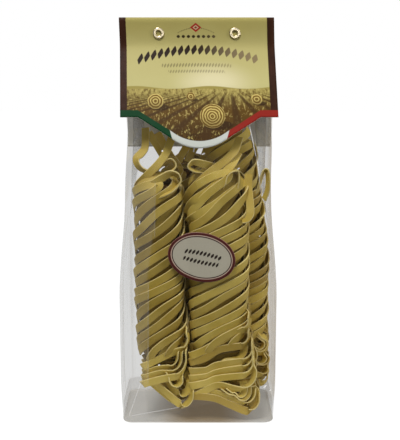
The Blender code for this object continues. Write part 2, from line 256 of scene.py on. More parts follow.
MIDDLE_HOOKS = (
    ((10, 12, 5, 10), ((-5, 55.7), (5.5, 60.4), (16.6, 67)), (30, 84), (10.4, 9), (-75, 15), (-32, -31)),
    ((10, 12, 5, 10), ((-5, 50), (5.2, 53), (16.6, 60)), (32.1, 72.4), (8.2, 9.8), (-95, 15), (-31, -30)),
    ((10, 12, 5, 10), ((-5, 42.4), (6.6, 43), (15, 47.2)), (31.3, 61.6), (11.8, 12), (-95, 15),
     (-31.5, -30)),
    ((80, 85), ((19, 50), (22, 51.5)), (28.9, 60.4), (7.8, 8.3), (-90, 10), (-28, -28)),
    ((10, 12, 5, 10), ((-5, 36.4), (6.6, 37.6), (15, 41)), (32.3, 56), (11.2, 12), (-95, 12), (-31.5, -30)),
    ((10, 12, 5, 10), ((-4.5, 30.6), (6.6, 33.1), (15, 36.6)), (32.5, 51.2), (11.6, 12.8), (-95, 10),
     (-32.6, -31)),
    ((0, 10), ((18, 40.5), (30, 37)), (36, 44), (8, 7), (-100, 0), (-26, -25)),
    ((10, 15, 50, 80), ((-1, 22.5), (7, 27), (16.5, 30.8)), (31.7, 41), (13, 13.4), (-95, 40),
     (-31.5, -31)),
    ((0, 5, 45), ((-1, 21.5), (13.4, 19.5), (26, 14)), (39.4, 18.4), (8.6, 9.8), (-100, 15), (-31.5, -29)),
    ((5, 20, 60), ((6, 27), (24.5, 19)), (35.0, 24.5), (9.6, 10.2), (-115, 10), (-30, -28)),
    ((80, 85), ((18, 28), (24, 23.5)), (33.7, 26.1), (6.4, 7.7), (-150, 15), (-30.5, -30)),
    ((80, 85), ((22, 28), (26, 24.5)), (32.5, 27), (4.6, 6.2), (-150, 15), (-29.5, -29)),
    ((85, 80), ((34, 10), (40, 11)), (40.4, 20.5), (6.3, 9), (-80, 100), (-27, -29)),
)
RIGHT_HOOKS = (
    ((10, 40, 80), ((40, 43.5), (45, 45)), (50.6, 53), (7.4, 7.8), (-100, 75), (3, 4)),
    ((80, 85), ((41, 50), (45, 48.5)), (50.4, 53.2), (5.8, 6.2), (-140, 75), (3.5, 4)),
    ((80, 85), ((43, 51), (46, 50)), (50.3, 53.4), (4.2, 4.6), (-150, 75), (4, 4)),
    ((60, 80), ((40, 34), (45, 34.5)), (51.5, 40.5), (6.6, 6.2), (-110, 50), (4, 5)),
    ((80, 85), ((43, 40), (46, 38)), (51.2, 40.8), (4.6, 4.6), (-150, 50), (4.5, 5)),
    ((10, 50, 70), ((40, 26), (46, 26)), (52, 31), (6, 5.6), (-100, 30), (5, 6)),
    ((0, 20, 60), ((39, 19), (46, 18)), (52.6, 24), (5.6, 6), (-100, 15), (6, 6)),
)
LOWER_ENDS = (
    dict(name="lower_end_left", seed=41, axis=(-30.5, -17.2), size=(19.5, 16.0), side=-43.2, step=10,
         hooks=LEFT_HOOKS),
    dict(name="lower_end_middle", seed=42, axis=(16.2, -17.2), size=(23.4, 16.0), side=-6, step=10,
         hooks=MIDDLE_HOOKS),
    dict(name="lower_end_right", seed=43, axis=(38, 20.2), size=(20.4, 15.6), side=20, step=6.5,
         hooks=RIGHT_HOOKS),
)
LOWER_END_COPIES = 3
COPY_RISE = 3.2
# Painted shade that darkens the nearer copy of a lower end.
COPY_PAINTED_SHADE = 0.4

# Stray ribbons, in millimetres and degrees: the twist along the ribbon and the knots (x, y, z) of its
# curve
STRAY_SEED = 5
STRAY_SAMPLES = 110
STRAYS = (
    ((15, 20, 35, 55, 60), ((-41, -8, 233), (-41, -14, 219.5), (-43.5, -18, 214.5), (-47.5, -21, 210.5),
                            (-46.5, -23, 205.5), (-42, -23, 201.5), (-35, -21, 200.5), (-28.5, -10, 206))),
    ((10, 0), ((-47, -9, 184), (-46, -20, 190), (-40, -26, 197), (-31, -26, 206), (-25, -22, 214),
               (-21, -16, 224), (-17, -10, 234))),
    ((5, 10, 35, 85, 88, 70, 40, 15), ((-45, -20, 186), (-36, -30, 191), (-28, -31, 196), (-21, -31, 200),
                                       (-15, -30, 199), (-13, -30, 195), (-15, -30, 191), (-20, -31, 187),
                                       (-25, -32, 185), (-31, -31, 183), (-40, -28, 177))),
    ((0, 5), ((-33, 12, 228), (-24, 11, 212), (-14, 10, 198))),
    ((5, 0), ((-1, 13, 230), (-11, 12, 214), (-20, 12, 198))),
    ((0, 5), ((6, 15, 230), (-4, 14, 214), (-12, 14, 196))),
    ((10, 0), ((12, 12, 228), (6, 12, 212), (0, 11, 194))),
    ((0, 10), ((-40, 14, 228), (-30, 13, 212), (-21, 12, 196))),
    ((80, 90), ((-30, -14, 204), (-24, -20, 209), (-20, -22, 210), (-17, -22, 206), (-19, -22, 202),
                (-26, -20, 198))),
    ((85, 80, 50, 15, 0), ((4, -24, 200), (-3, -29, 202), (-6.5, -31, 205), (-4.5, -31.7, 208),
                           (-1, -31.7, 208.5), (7, -28, 206), (14, -20, 203))),
    ((0, -20), ((-10, -22, 176), (-5, -30, 187), (7, -31, 199), (20, -29, 209), (28, -25, 217),
                (32, -16, 226))),
    ((0, -10), ((-9, -22, 168), (-4, -31, 178.5), (9, -32, 188), (18, -31, 198), (26, -28, 207),
                (31, -20, 215))),
    ((0, -5), ((-8, -20, 161), (-4, -29, 165.5), (3, -31.5, 170.5), (14, -32, 177), (23, -31, 184),
               (31, -28, 189.5), (36, -20, 193))),
    ((80, 90, 80), ((18, -25, 186), (21, -30.5, 192), (22, -31.5, 197), (25, -31.5, 201), (30, -30.5, 202),
                    (31, -29.5, 197), (30, -28, 189))),
    ((0, 10, 80), ((39, -20, 198), (39, -24, 186), (40, -28, 175), (40, -31, 169), (38, -32.8, 165),
                  (34, -32.7, 163))),
    ((70, 60), ((46, -20, 184), (48.5, -24, 195), (50.5, -26, 201), (52.6, -27, 201.5), (53.6, -27, 195),
                (53.2, -26, 186), (51, -24, 179))),
    ((40, 60), ((-48, -9, 187), (-48, -16, 183), (-46, -22, 181), (-40, -24, 182), (-34, -22, 186))),
)

# Camera: fitted to the photo, which is 400 x 440 pixels
PHOTO_HEIGHT_PX = 440
FOCAL_PX = 806
SENSOR = 36
CAMERA_DISTANCE = 650 * MM
CAMERA_PITCH = math.radians(10)
CAMERA_AIM = (1.5 * MM, 0, 158.6 * MM)

# Light from the world: its strength on things grows from the first to the second value while the
# direction's z goes from the first to the second. Softboxes: place, point aimed at, width and height
# in metres, and power in watts.
WORLD_STRENGTH = (0.04, 0.8)
WORLD_RISE = (-0.05, 1.0)
SOFTBOXES = {
    "key": ((-0.3, -0.7, 1.4), (0, 0, 0.12), (0.5, 0.5), 18),
    "front": ((0.1, -1.5, 0.3), (0, 0, 0.15), (0.8, 0.3), 2),
    "side": ((1.2, -0.5, 0.5), (0, 0, 0.15), (0.4, 1.2), 8),
}


def smooth_min(a, b, rounding):
    """The smaller of a and b, with the corner where they cross rounded off."""
    return 0.5 * (a + b - np.sqrt((a - b) ** 2 + rounding ** 2))


def ease(value, low, high):
    """Cubic step from 0 at low to 1 at high."""
    t = np.clip((value - low) / (high - low), 0, 1)
    return t * t * (3 - 2 * t)


def unit(vectors):
    """Vectors along the last axis, scaled to length 1."""
    return vectors / np.maximum(np.linalg.norm(vectors, axis=-1, keepdims=True), 1e-12)


def lean(z):
    """Sideways shift of the closed top."""
    return LEAN * (z - LEAN_PIVOT) * ease(z, *LEAN_RISE)


def base_round(z):
    """How far the bottom edge is drawn in by its rounding."""
    rise = np.clip(z / BASE_EDGE_RADIUS, 0, 1)
    return BASE_EDGE_RADIUS * (1 - np.sqrt(1 - (1 - rise) ** 2))


def wedge_half_depth(z):
    """Half the thickness of the closing wedge: the seal's, then a straight spread below its tip."""
    fall = WEDGE_TIP - z
    return SEAL_HALF_DEPTH + WEDGE_SLOPE * 0.5 * (np.sqrt(fall ** 2 + WEDGE_TIP_ROUNDING ** 2) + fall)


def bag_half_depth(z):
    """Half the bag's depth: the wedge above, near upright walls below."""
    body = BASE_HALF_DEPTH + (BODY_HALF_DEPTH - BASE_HALF_DEPTH) * ease(z, 0, BODY_BOTTOM)
    rounding = SHOULDER_ROUNDING * ease(z, SHOULDER_BOTTOM, SHOULDER_TOP)
    return smooth_min(wedge_half_depth(z), body, rounding) - base_round(z)


def bag_half_width(z):
    """Half the bag's width: base, belly, neck and seal, eased into each other."""
    half = BASE_HALF_WIDTH + (BELLY_HALF_WIDTH - BASE_HALF_WIDTH) * ease(z, 0, BELLY_BOTTOM)
    half = half + (NECK_HALF_WIDTH - BELLY_HALF_WIDTH) * ease(z, BELLY_TOP, NECK_BOTTOM)
    half = half + (SEAL_HALF_WIDTH - NECK_HALF_WIDTH) * ease(z, NECK_TOP, WEDGE_TIP)
    return half - base_round(z)


def bulge(x, z, hanks):
    """Outward swell of the film over the hanks, none at the base or under the card."""
    near = np.min([np.abs(x - middle) for middle in hanks], axis=0) / HANK_HALF_PITCH
    swell = np.clip(1 - near ** 2, BULGE_DIP, 1)
    return BULGE * swell * ease(z, *BULGE_RISE) * (1 - ease(z, *BULGE_FADE))


def gusset_depth(z):
    """How far the middle of each side is folded inwards."""
    return GUSSET_DEPTH * ease(z, GUSSET_BOTTOM, GUSSET_FULL) * (1 - ease(z, GUSSET_FADE, GUSSET_TOP))


def card_half(z):
    """Half the width across the outside of the folded card at one height."""
    inner = smooth_min(wedge_half_depth(z), CARD_REACH, CARD_REACH_ROUNDING) + GAP
    return inner + CARD_THICKNESS * math.hypot(1, WEDGE_SLOPE)


def card_front_edge(x):
    """Height of the front flap's lower edge: level ears, straight slopes and a round dip."""
    distance = np.abs(x)
    slope_share = np.clip((EAR_HALF_SPAN - distance) / (EAR_HALF_SPAN - DIP_HALF_SPAN), 0, 1)
    slope = EAR_HEIGHT + (DIP_EDGE_HEIGHT - EAR_HEIGHT) * slope_share
    sagitta = DIP_EDGE_HEIGHT - DIP_HEIGHT
    radius = (DIP_HALF_SPAN ** 2 + sagitta ** 2) / (2 * sagitta)
    inside = np.minimum(distance, DIP_HALF_SPAN)
    arc = DIP_HEIGHT + radius - np.sqrt(radius ** 2 - inside ** 2)
    return np.where(distance < DIP_HALF_SPAN, arc, slope)


def grid_quads(rows, columns, wrap_rows=False, wrap_columns=False, turned=False):
    """Corner numbers of the quads of a grid, joined round in either direction.

    Turned quads face the other way, so that the outside of a closed surface can be outwards.
    """
    index = np.arange(rows * columns).reshape(rows, columns)
    if wrap_columns:
        index = np.concatenate([index, index[:, :1]], axis=1)
    if wrap_rows:
        index = np.concatenate([index, index[:1]], axis=0)
    a, b, c, d = index[:-1, :-1], index[:-1, 1:], index[1:, 1:], index[1:, :-1]
    corners = [a, d, c, b] if turned else [a, b, c, d]
    return np.stack(corners, axis=-1).reshape(-1, 4)


def add_object(name, data):
    """An object in the scene for a mesh, a lamp or a camera."""
    item = bpy.data.objects.new(name, data)
    bpy.context.scene.collection.objects.link(item)
    return item


def mesh_piece(name, points, quads, materials, faces=(), sharp=None):
    """An object from an array of points and arrays of quads, with any extra faces as lists."""
    mesh = bpy.data.meshes.new(name)
    flat = np.asarray(points, dtype=np.float32).reshape(-1, 3)
    corners = np.concatenate([quads.reshape(-1), *[np.asarray(face) for face in faces]]).astype(np.int32)
    sizes = np.concatenate([np.full(len(quads), 4), [len(face) for face in faces]]).astype(np.int32)
    mesh.vertices.add(len(flat))
    mesh.vertices.foreach_set("co", flat.ravel())
    mesh.loops.add(len(corners))
    mesh.loops.foreach_set("vertex_index", corners)
    mesh.polygons.add(len(sizes))
    mesh.polygons.foreach_set("loop_start", np.concatenate([[0], np.cumsum(sizes)[:-1]]).astype(np.int32))
    mesh.update(calc_edges=True)
    for material in materials:
        mesh.materials.append(material)
    mesh.shade_smooth()
    if sharp is not None:
        mesh.set_sharp_from_angle(angle=math.radians(sharp))
    return add_object(name, mesh)


def give_value(piece, name, values):
    """Store one number for each point of a piece, for its material to read."""
    layer = piece.data.attributes.new(name, "FLOAT", "POINT")
    layer.data.foreach_set("value", np.asarray(values, dtype=np.float32).ravel())


def thicken(piece, thickness, side):
    """Give a sheet its thickness, outwards where side is 1 and inwards where it is -1."""
    thick = piece.modifiers.new("thickness", "SOLIDIFY")
    thick.thickness = thickness
    thick.offset = side
    return thick


class Finish:
    """One material and short calls that add nodes to it."""

    def __init__(self, name):
        self.material = bpy.data.materials.new(name)
        self.material.use_nodes = True
        self.tree = self.material.node_tree
        self.shader = self.tree.nodes["Principled BSDF"]
        self.output = self.tree.nodes["Material Output"]

    def add(self, kind, **settings):
        """A node, with its settings."""
        node = self.tree.nodes.new("ShaderNode" + kind)
        for key, value in settings.items():
            setattr(node, key, value)
        return node

    def feed(self, value, socket):
        """Link a socket, or set a plain number or colour."""
        if isinstance(value, bpy.types.NodeSocket):
            self.tree.links.new(value, socket)
        elif isinstance(value, tuple) and len(value) == 3 and socket.type == "RGBA":
            socket.default_value = (*value, 1)
        elif value is not None:
            socket.default_value = value

    def math(self, operation, a, b=None, c=None):
        """One sum of up to three values."""
        node = self.add("Math", operation=operation)
        for value, socket in zip((a, b, c), node.inputs):
            self.feed(value, socket)
        return node.outputs[0]

    def times(self, a, b):
        """The product of two values."""
        return self.math("MULTIPLY", a, b)

    def times_plus(self, a, b, c):
        """The product of a and b, plus c."""
        return self.math("MULTIPLY_ADD", a, b, c)

    def minus(self, a, b):
        """Value a less value b."""
        return self.math("SUBTRACT", a, b)

    def over(self, a, b):
        """Value a divided by value b."""
        return self.math("DIVIDE", a, b)

    def larger(self, a, b):
        """The larger of two values."""
        return self.math("MAXIMUM", a, b)

    def size_of(self, a):
        """A value without its sign."""
        return self.math("ABSOLUTE", a)

    def step(self, value, low, high, to_low=0.0, to_high=1.0):
        """Smooth step of a value, from to_low at low to to_high at high."""
        node = self.add("MapRange", interpolation_type="SMOOTHSTEP")
        for item, socket in zip((value, low, high, to_low, to_high), node.inputs):
            self.feed(item, socket)
        return node.outputs[0]

    def blend(self, share, a, b, kind="MIX"):
        """Colour a turning into b by share."""
        node = self.add("Mix", data_type="RGBA", blend_type=kind)
        self.feed(share, node.inputs[0])
        self.feed(a, node.inputs[6])
        self.feed(b, node.inputs[7])
        return node.outputs[2]

    def mix(self, share, first, second):
        """One shader turning into another by share."""
        node = self.add("MixShader")
        for value, socket in zip((share, first.outputs[0], second.outputs[0]), node.inputs):
            self.feed(value, socket)
        return node

    def noise(self, where, scale, detail=3.0, roughness=0.5, stretch=(1, 1, 1)):
        """Soft noise, 0 to 1, with scale in waves to the metre and a stretch along each axis."""
        if stretch != (1, 1, 1):
            mapping = self.add("Mapping")
            self.feed(where, mapping.inputs["Vector"])
            mapping.inputs["Scale"].default_value = stretch
            where = mapping.outputs[0]
        node = self.add("TexNoise")
        self.feed(where, node.inputs["Vector"])
        node.inputs["Scale"].default_value = scale
        node.inputs["Detail"].default_value = detail
        node.inputs["Roughness"].default_value = roughness
        return node.outputs[0]

    def place(self):
        """Position on the object."""
        return self.add("TexCoord").outputs["Object"]

    def value(self, name):
        """A number stored on the piece."""
        return self.add("Attribute", attribute_name=name).outputs["Fac"]

    def split(self, vector):
        """The three numbers of a vector."""
        node = self.add("SeparateXYZ")
        self.feed(vector, node.inputs[0])
        return node.outputs

    def radius(self, u, v, centre, size):
        """Distance from a centre, 1 on the edge of an oval of the given half width and height."""
        du = self.over(self.minus(u, centre[0]), size[0])
        dv = self.over(self.minus(v, centre[1]), size[1])
        return self.math("SQRT", self.math("ADD", self.times(du, du), self.times(dv, dv)))

    def stroke(self, u, v, start, end, width):
        """1 on a straight stroke of a flat drawing, fading to 0 across half its width and at its ends."""
        length = math.hypot(end[0] - start[0], end[1] - start[1])
        along = ((end[0] - start[0]) / length, (end[1] - start[1]) / length)
        du, dv = self.minus(u, start[0]), self.minus(v, start[1])
        far = self.times_plus(du, along[0], self.times(dv, along[1]))
        off = self.size_of(self.times_plus(du, along[1], self.times(dv, -along[0])))
        side = self.step(off, width * 0.2, width * 0.5, 1, 0)
        from_middle = self.size_of(self.minus(far, length / 2))
        ends = self.step(from_middle, length * 0.42, length * 0.5, 1, 0)
        return self.times(side, ends)

    def bump(self, height, distance, strength=1.0):
        """A normal raised by height times distance."""
        node = self.add("Bump")
        node.inputs["Strength"].default_value = strength
        node.inputs["Distance"].default_value = distance
        self.feed(height, node.inputs["Height"])
        return node.outputs[0]

    def surface(self, **inputs):
        """Set the Principled shader's sockets by name, with _ for a space."""
        for key, value in inputs.items():
            self.feed(value, self.shader.inputs[key.replace("_", " ")])
        return self.material


def pasta_finish():
    """Dry egg pasta: pale ochre, a little darker in patches, with cut edges painted lighter as a painted
    highlight, deep ribbons painted darker as painted shade, and a fine tooth.
    """
    finish = Finish("dry pasta")
    place = finish.place()
    patches = finish.step(finish.noise(place, 45, detail=2), 0.3, 0.7)
    grain = finish.noise(place, 900, detail=3, roughness=0.6)
    shade = finish.value("tone")
    colour = finish.blend(patches, (0.585, 0.415, 0.048), (0.72, 0.545, 0.115))
    colour = finish.blend(shade, colour, (0.35, 0.21, 0.015))
    # Cut edges painted lighter: a painted highlight where they catch the light.
    colour = finish.blend(finish.times(finish.value("edge"), 0.5), colour, (0.92, 0.82, 0.45))
    # Painted shade: deep loops and the nearer copy of each lower end are drawn darker.
    colour = finish.blend(finish.value("inner"), colour, (0.12, 0.055, 0.004))
    return finish.surface(
        Base_Color=colour, Roughness=finish.step(grain, 0.3, 0.7, 0.5, 0.68), Specular_IOR_Level=0.35,
        Normal=finish.bump(grain, 0.0002, 0.35))


def film_finish():
    """Clear film: a grey tint each time light passes, a thin haze, gloss that grows to the rim, and painted
    shadow, shade, sheen, highlights and glints.
    """
    finish = Finish("clear film")
    place = finish.place()
    x, y, z = finish.split(place)
    front = finish.math("LESS_THAN", y, FRONT_FACE)
    ripple = finish.noise(place, 35, detail=2, stretch=(1, 1, 0.35))
    fine = finish.noise(place, 160, detail=2, stretch=(1, 1, 0.5))
    height = finish.math("ADD", ripple, finish.times(fine, FINE_RIPPLE))
    normal = finish.bump(height, RIPPLE_HEIGHT, 0.5)
    lines = None
    # Painted highlights along creases and painted glints, as pale strokes on the front.
    for start, end, width, strength in PAINTED_CREASE_HIGHLIGHTS_AND_GLINTS:
        line = finish.stroke(x, z, np.array(start) * MM, np.array(end) * MM, width * MM)
        line = finish.times(line, strength)
        lines = line if lines is None else finish.larger(lines, line)
    lines = finish.times(lines, front)
    streaks = finish.step(finish.noise(place, 150, detail=3, stretch=(1, 1, 0.04)), 0.5, 0.7, 0, 0.5)
    streaks = finish.times(streaks, finish.value("wrinkled"))
    # Haze, with the painted sheen of the fold strip, the painted highlights and glints, and the side
    # streaks.
    haze_and_painted_sheen = finish.larger(finish.larger(finish.value("haze_and_painted_sheen"), lines), streaks)
    layers = finish.value("layers")
    clear = finish.add("BsdfTransparent")
    tint = finish.blend(layers, (0.79, 0.79, 0.785), (0.5, 0.49, 0.47))
    # Painted shadow of the pasta on the base and painted shade on the right side darken the tint and the
    # haze.
    away = finish.size_of(finish.minus(x, PAINTED_SHADOW_MIDDLE))
    under = finish.times(finish.value("base"), finish.step(away, *PAINTED_SHADOW_FADE, 1, 0))
    # Painted shade on the right side of the film.
    right = finish.step(x, *RIGHT_SHADE_START, 0, RIGHT_SHADE)
    right = finish.times(right, finish.step(z, *RIGHT_SHADE_RISE))
    shade = finish.blend(finish.larger(under, right), (1, 1, 1), (0.6, 0.47, 0.3))
    finish.feed(finish.blend(1.0, tint, shade, "MULTIPLY"), clear.inputs["Color"])
    gloss = finish.add("BsdfGlossy")
    gloss.inputs["Color"].default_value = (1, 1, 1, 1)
    gloss.inputs["Roughness"].default_value = 0.13
    finish.feed(normal, gloss.inputs["Normal"])
    haze = finish.add("BsdfDiffuse")
    cloud = finish.blend(layers, (0.8, 0.8, 0.8), (0.74, 0.715, 0.67))
    finish.feed(finish.blend(1.0, cloud, shade, "MULTIPLY"), haze.inputs["Color"])
    fresnel = finish.add("Fresnel")
    fresnel.inputs["IOR"].default_value = FILM_IOR
    finish.feed(normal, fresnel.inputs["Normal"])
    body = finish.mix(finish.math("ADD", HAZE, haze_and_painted_sheen), clear, haze)
    whole = finish.mix(finish.math("MINIMUM", fresnel.outputs[0], MIRROR_LIMIT), body, gloss)
    finish.tree.links.new(whole.outputs[0], finish.output.inputs["Surface"])
    finish.tree.nodes.remove(finish.shader)
    return finish.material


def plain_finish(name, colour, roughness):
    """A plain finish with faint grain, for hidden and inner faces."""
    finish = Finish(name)
    grain = finish.noise(finish.place(), 500, detail=4)
    darker = tuple(0.8 * part for part in colour)
    shaded = finish.blend(finish.step(grain, 0.3, 0.7, 0, 0.25), colour, darker)
    return finish.surface(Base_Color=shaded, Roughness=roughness)


def evening_sky(finish, u, v):
    """Pale gold sky, darker towards the top, with a soft glow low down right of the middle."""
    drift = finish.noise(finish.place(), 28, detail=2, stretch=(1, 1, 2))
    height = finish.times_plus(drift, 16, finish.minus(v, 8))
    sky = finish.blend(finish.step(height, 262, 296), (0.42, 0.38, 0.16), (0.39, 0.345, 0.135))
    sky = finish.blend(finish.step(height, 290, 314), sky, (0.32, 0.275, 0.088))
    glow = finish.step(finish.radius(u, v, GLOW_PLACE, GLOW_SIZE), 0.1, 1, 0.9, 0)
    return finish.blend(glow, sky, (0.58, 0.525, 0.32))


def cut_field(finish, u, v, sky):
    """Stubble field under the sky: a low ridge, furrows that meet far off, and round bales of straw."""
    place = finish.place()
    ridge = finish.math("SINE", finish.times_plus(u, 0.11, 0.6))
    ridge = finish.times_plus(ridge, 1.1, HORIZON + 1.0)
    below_ridge = finish.step(finish.minus(v, ridge), -0.4, 0.4, 1, 0)
    colour = finish.blend(below_ridge, sky, (0.27, 0.22, 0.055))
    near = finish.blend(finish.step(v, 246, HORIZON), (0.09, 0.046, 0.007), (0.31, 0.25, 0.07))
    near = finish.blend(finish.step(v, 226, 246), (0.035, 0.016, 0.004), near)
    stalks = finish.noise(place, 620, detail=3, roughness=0.65, stretch=(1, 1, 0.3))
    near = finish.blend(finish.step(stalks, 0.5, 0.62, 0, 0.75), near, (0.085, 0.045, 0.008))
    near = finish.blend(finish.step(stalks, 0.36, 0.46, 0.65, 0), near, (0.44, 0.35, 0.11))
    spread = finish.over(finish.minus(u, VANISHING[0]), finish.minus(VANISHING[1], v))
    furrow = finish.math("SINE", finish.times(spread, 9.0))
    furrow = finish.times(finish.step(furrow, 0.1, 0.9, 0, 0.85), finish.step(v, 256, 262, 1, 0))
    near = finish.blend(furrow, near, (0.05, 0.024, 0.006))
    colour = finish.blend(finish.step(v, HORIZON - 0.3, HORIZON + 0.3, 1, 0), colour, near)
    for middle, size in BALES:
        shadow_middle = (middle[0] + 0.5 * size, middle[1] - 0.72 * size)
        shadow = finish.radius(u, v, shadow_middle, (1.35 * size, 0.42 * size))
        colour = finish.blend(finish.step(shadow, 0.75, 1, 0.85, 0), colour, (0.03, 0.014, 0.004))
        round_face = finish.radius(u, v, middle, (size, size * 0.94))
        coil = finish.times_plus(finish.noise(place, 300), 5.0, finish.times(round_face, 3.2 * size))
        coil = finish.math("SINE", coil)
        straw = finish.blend(finish.step(coil, -0.5, 0.7), (0.14, 0.075, 0.012), (0.50, 0.39, 0.12))
        low_down = finish.step(v, middle[1] - size, middle[1] + 0.6 * size, 0.6, 0)
        straw = finish.blend(low_down, straw, (0.06, 0.03, 0.006))
        colour = finish.blend(finish.step(round_face, 0.97, 1.02, 1, 0), colour, straw)
    return colour


def leaf_row(finish, u, v, row):
    """A curved row of slanting leaves as a plain ornament, 1 inside the leaves and 0 between them."""
    middle, height, span, sag, half, pitch, slant = row
    off = finish.minus(u, middle)
    bow = finish.math("POWER", finish.over(finish.size_of(off), span), 2)
    level = finish.over(finish.minus(v, finish.minus(height, finish.times(bow, sag))), half)
    cell = finish.over(finish.times_plus(level, -slant * half, off), pitch)
    cell = finish.math("FRACT", cell)
    thick = finish.times_plus(finish.times(level, level), -0.36, 0.36)
    inside = finish.minus(thick, finish.size_of(finish.minus(cell, 0.5)))
    leaves = finish.step(inside, -0.03, 0.05)
    return finish.times(leaves, finish.step(finish.size_of(off), span - 0.6, span, 1, 0))


def edge_band(finish, u, height, colour):
    """Green, pale and red band along the lower edge, with its colours changing on slanting lines."""
    slant = finish.times_plus(height, -0.35, finish.size_of(u))
    side = finish.blend(finish.math("GREATER_THAN", u, 0), (0.002, 0.036, 0.010), (0.22, 0.016, 0.010))
    band = finish.step(slant, BAND_CORNER - 0.15, BAND_CORNER + 0.15)
    band = finish.blend(band, (0.44, 0.46, 0.42), side)
    return finish.blend(finish.step(height, BAND_HEIGHT - 0.15, BAND_HEIGHT + 0.15, 1, 0), colour, band)


def back_panel(finish, u, v):
    """Plain panel for the card's back: rows of dashes on a ground that darkens upwards."""
    panel = finish.blend(finish.step(v, 216, 314), (0.50, 0.45, 0.26), (0.34, 0.30, 0.12))
    dashes = finish.step(finish.math("FRACT", finish.over(v, DASH_PITCH)), 0.6, 0.68)
    dashes = finish.times(dashes, finish.step(finish.size_of(u), *PANEL_EDGE, 1, 0))
    breaks = finish.noise(finish.place(), 420, detail=1, stretch=(1, 1, 0.02))
    dashes = finish.times(dashes, finish.step(breaks, 0.42, 0.46))
    between = finish.times(finish.step(v, *PANEL_BOTTOM), finish.step(v, *PANEL_TOP, 1, 0))
    dashes = finish.times(dashes, between)
    return finish.blend(finish.times(dashes, 0.8), panel, (0.09, 0.05, 0.02))


def card_finish():
    """Printed card: an evening field in front, plain leaf ornaments, brown sides and a band below."""
    finish = Finish("printed card")
    u, v, height, back = (finish.value(name) for name in ("across", "up", "rise", "back"))
    colour = cut_field(finish, u, v, evening_sky(finish, u, v))
    ink = finish.blend(finish.step(u, -5, 45), (0.018, 0.010, 0.006), (0.20, 0.15, 0.075))
    for row, share in TITLE_ROWS:
        colour = finish.blend(finish.times(leaf_row(finish, u, v, row), share), colour, ink)
    for size, shade in LOZENGES:
        sideways = finish.over(finish.size_of(finish.minus(u, LOZENGE_PLACE[0])), LOZENGE_SIZE[0])
        upwards = finish.over(finish.size_of(finish.minus(v, LOZENGE_PLACE[1])), LOZENGE_SIZE[1])
        lozenge = finish.math("ADD", sideways, upwards)
        colour = finish.blend(finish.step(lozenge, size - 0.06, size + 0.02, 1, 0), colour, shade)
    colour = finish.blend(back, colour, back_panel(finish, u, v))
    wood = finish.noise(finish.place(), 260, detail=2, stretch=(1, 1, 0.08))
    border = finish.blend(wood, (0.012, 0.004, 0.002), (0.05, 0.018, 0.008))
    outer = finish.larger(finish.step(u, *BORDER_RIGHT), finish.step(u, *BORDER_LEFT, 1, 0))
    colour = finish.blend(outer, colour, border)
    colour = edge_band(finish, u, height, colour)
    grain = finish.noise(finish.place(), 900, detail=3)
    wave = finish.noise(finish.place(), 22, detail=2)
    normal = finish.bump(finish.times_plus(grain, 0.02, wave), 0.003, 0.35)
    return finish.surface(Base_Color=colour, Roughness=finish.step(grain, 0.3, 0.7, 0.36, 0.46),
                          Specular_IOR_Level=0.05, Normal=normal)


def label_finish():
    """Label: grey-beige middle with two leaf rows, inside a dark rim with a thin pale line."""
    finish = Finish("printed label")
    u, v, inset = (finish.value(name) for name in ("across", "up", "inset"))
    grain = finish.noise(finish.place(), 700, detail=3)
    colour = finish.blend(grain, (0.33, 0.305, 0.235), (0.37, 0.345, 0.27))
    ink = (0.022, 0.014, 0.010)
    for row in LABEL_ROWS:
        colour = finish.blend(leaf_row(finish, u, v, row), colour, ink)
    for depth, shade in LABEL_RINGS:
        colour = finish.blend(finish.step(inset, depth - 0.2, depth + 0.2, 1, 0), colour, shade)
    colour = finish.blend(finish.step(inset, 0.15, 0.45, 1, 0), colour, (0.20, 0.10, 0.07))
    roughness = finish.step(grain, 0.3, 0.7, 0.4, 0.5)
    return finish.surface(Base_Color=colour, Roughness=roughness, Specular_IOR_Level=0.2)


def metal_finish():
    """Pale gold metal of the eyelets."""
    finish = Finish("pale gold metal")
    grain = finish.noise(finish.place(), 1500, detail=3)
    roughness = finish.step(grain, 0.3, 0.7, 0.2, 0.38)
    return finish.surface(Base_Color=(0.72, 0.62, 0.42), Metallic=1.0, Roughness=roughness)


def film_ring(z, face_steps=110, side_steps=50, corner_steps=8):
    """Points round the film at each height of the array z, as (heights, points, 3).

    A rounded rectangle whose front and back swell over the hanks and whose sides fold in to a V.
    """
    z = z[:, None]
    width = bag_half_width(z)
    depth = bag_half_depth(z)
    radius = np.minimum(CORNER_RADIUS, 0.8 * depth)
    flat_x = width - radius
    flat_y = depth - radius
    runs = []

    def corner(sign_x, sign_y, start):
        angle = start + np.linspace(0, math.pi / 2, corner_steps, endpoint=False)
        runs.append((sign_x * flat_x + radius * np.cos(angle), sign_y * flat_y + radius * np.sin(angle)))

    def run(x0, y0, x1, y1, steps):
        share = np.linspace(0, 1, steps, endpoint=False)
        runs.append((x0 + (x1 - x0) * share, y0 + (y1 - y0) * share))

    corner(-1, -1, math.pi)
    run(-flat_x, -depth, flat_x, -depth, face_steps)
    corner(1, -1, 1.5 * math.pi)
    run(width, -flat_y, width, flat_y, side_steps)
    corner(1, 1, 0)
    run(flat_x, depth, -flat_x, depth, face_steps)
    corner(-1, 1, 0.5 * math.pi)
    run(-width, flat_y, -width, -flat_y, side_steps)
    x = np.concatenate([part[0] for part in runs], axis=1)
    y = np.concatenate([part[1] for part in runs], axis=1)
    share = np.abs(y) / depth
    swell = np.where(y < 0, bulge(x, z, FRONT_HANKS), bulge(x, z, BACK_HANKS)) * ease(share, 0.75, 1)
    fold = np.where(np.abs(x) > flat_x, gusset_depth(z) * (1 - share), 0)
    return np.stack([x - np.sign(x) * fold + lean(z), y + np.sign(y) * swell, z + 0 * x], axis=-1)


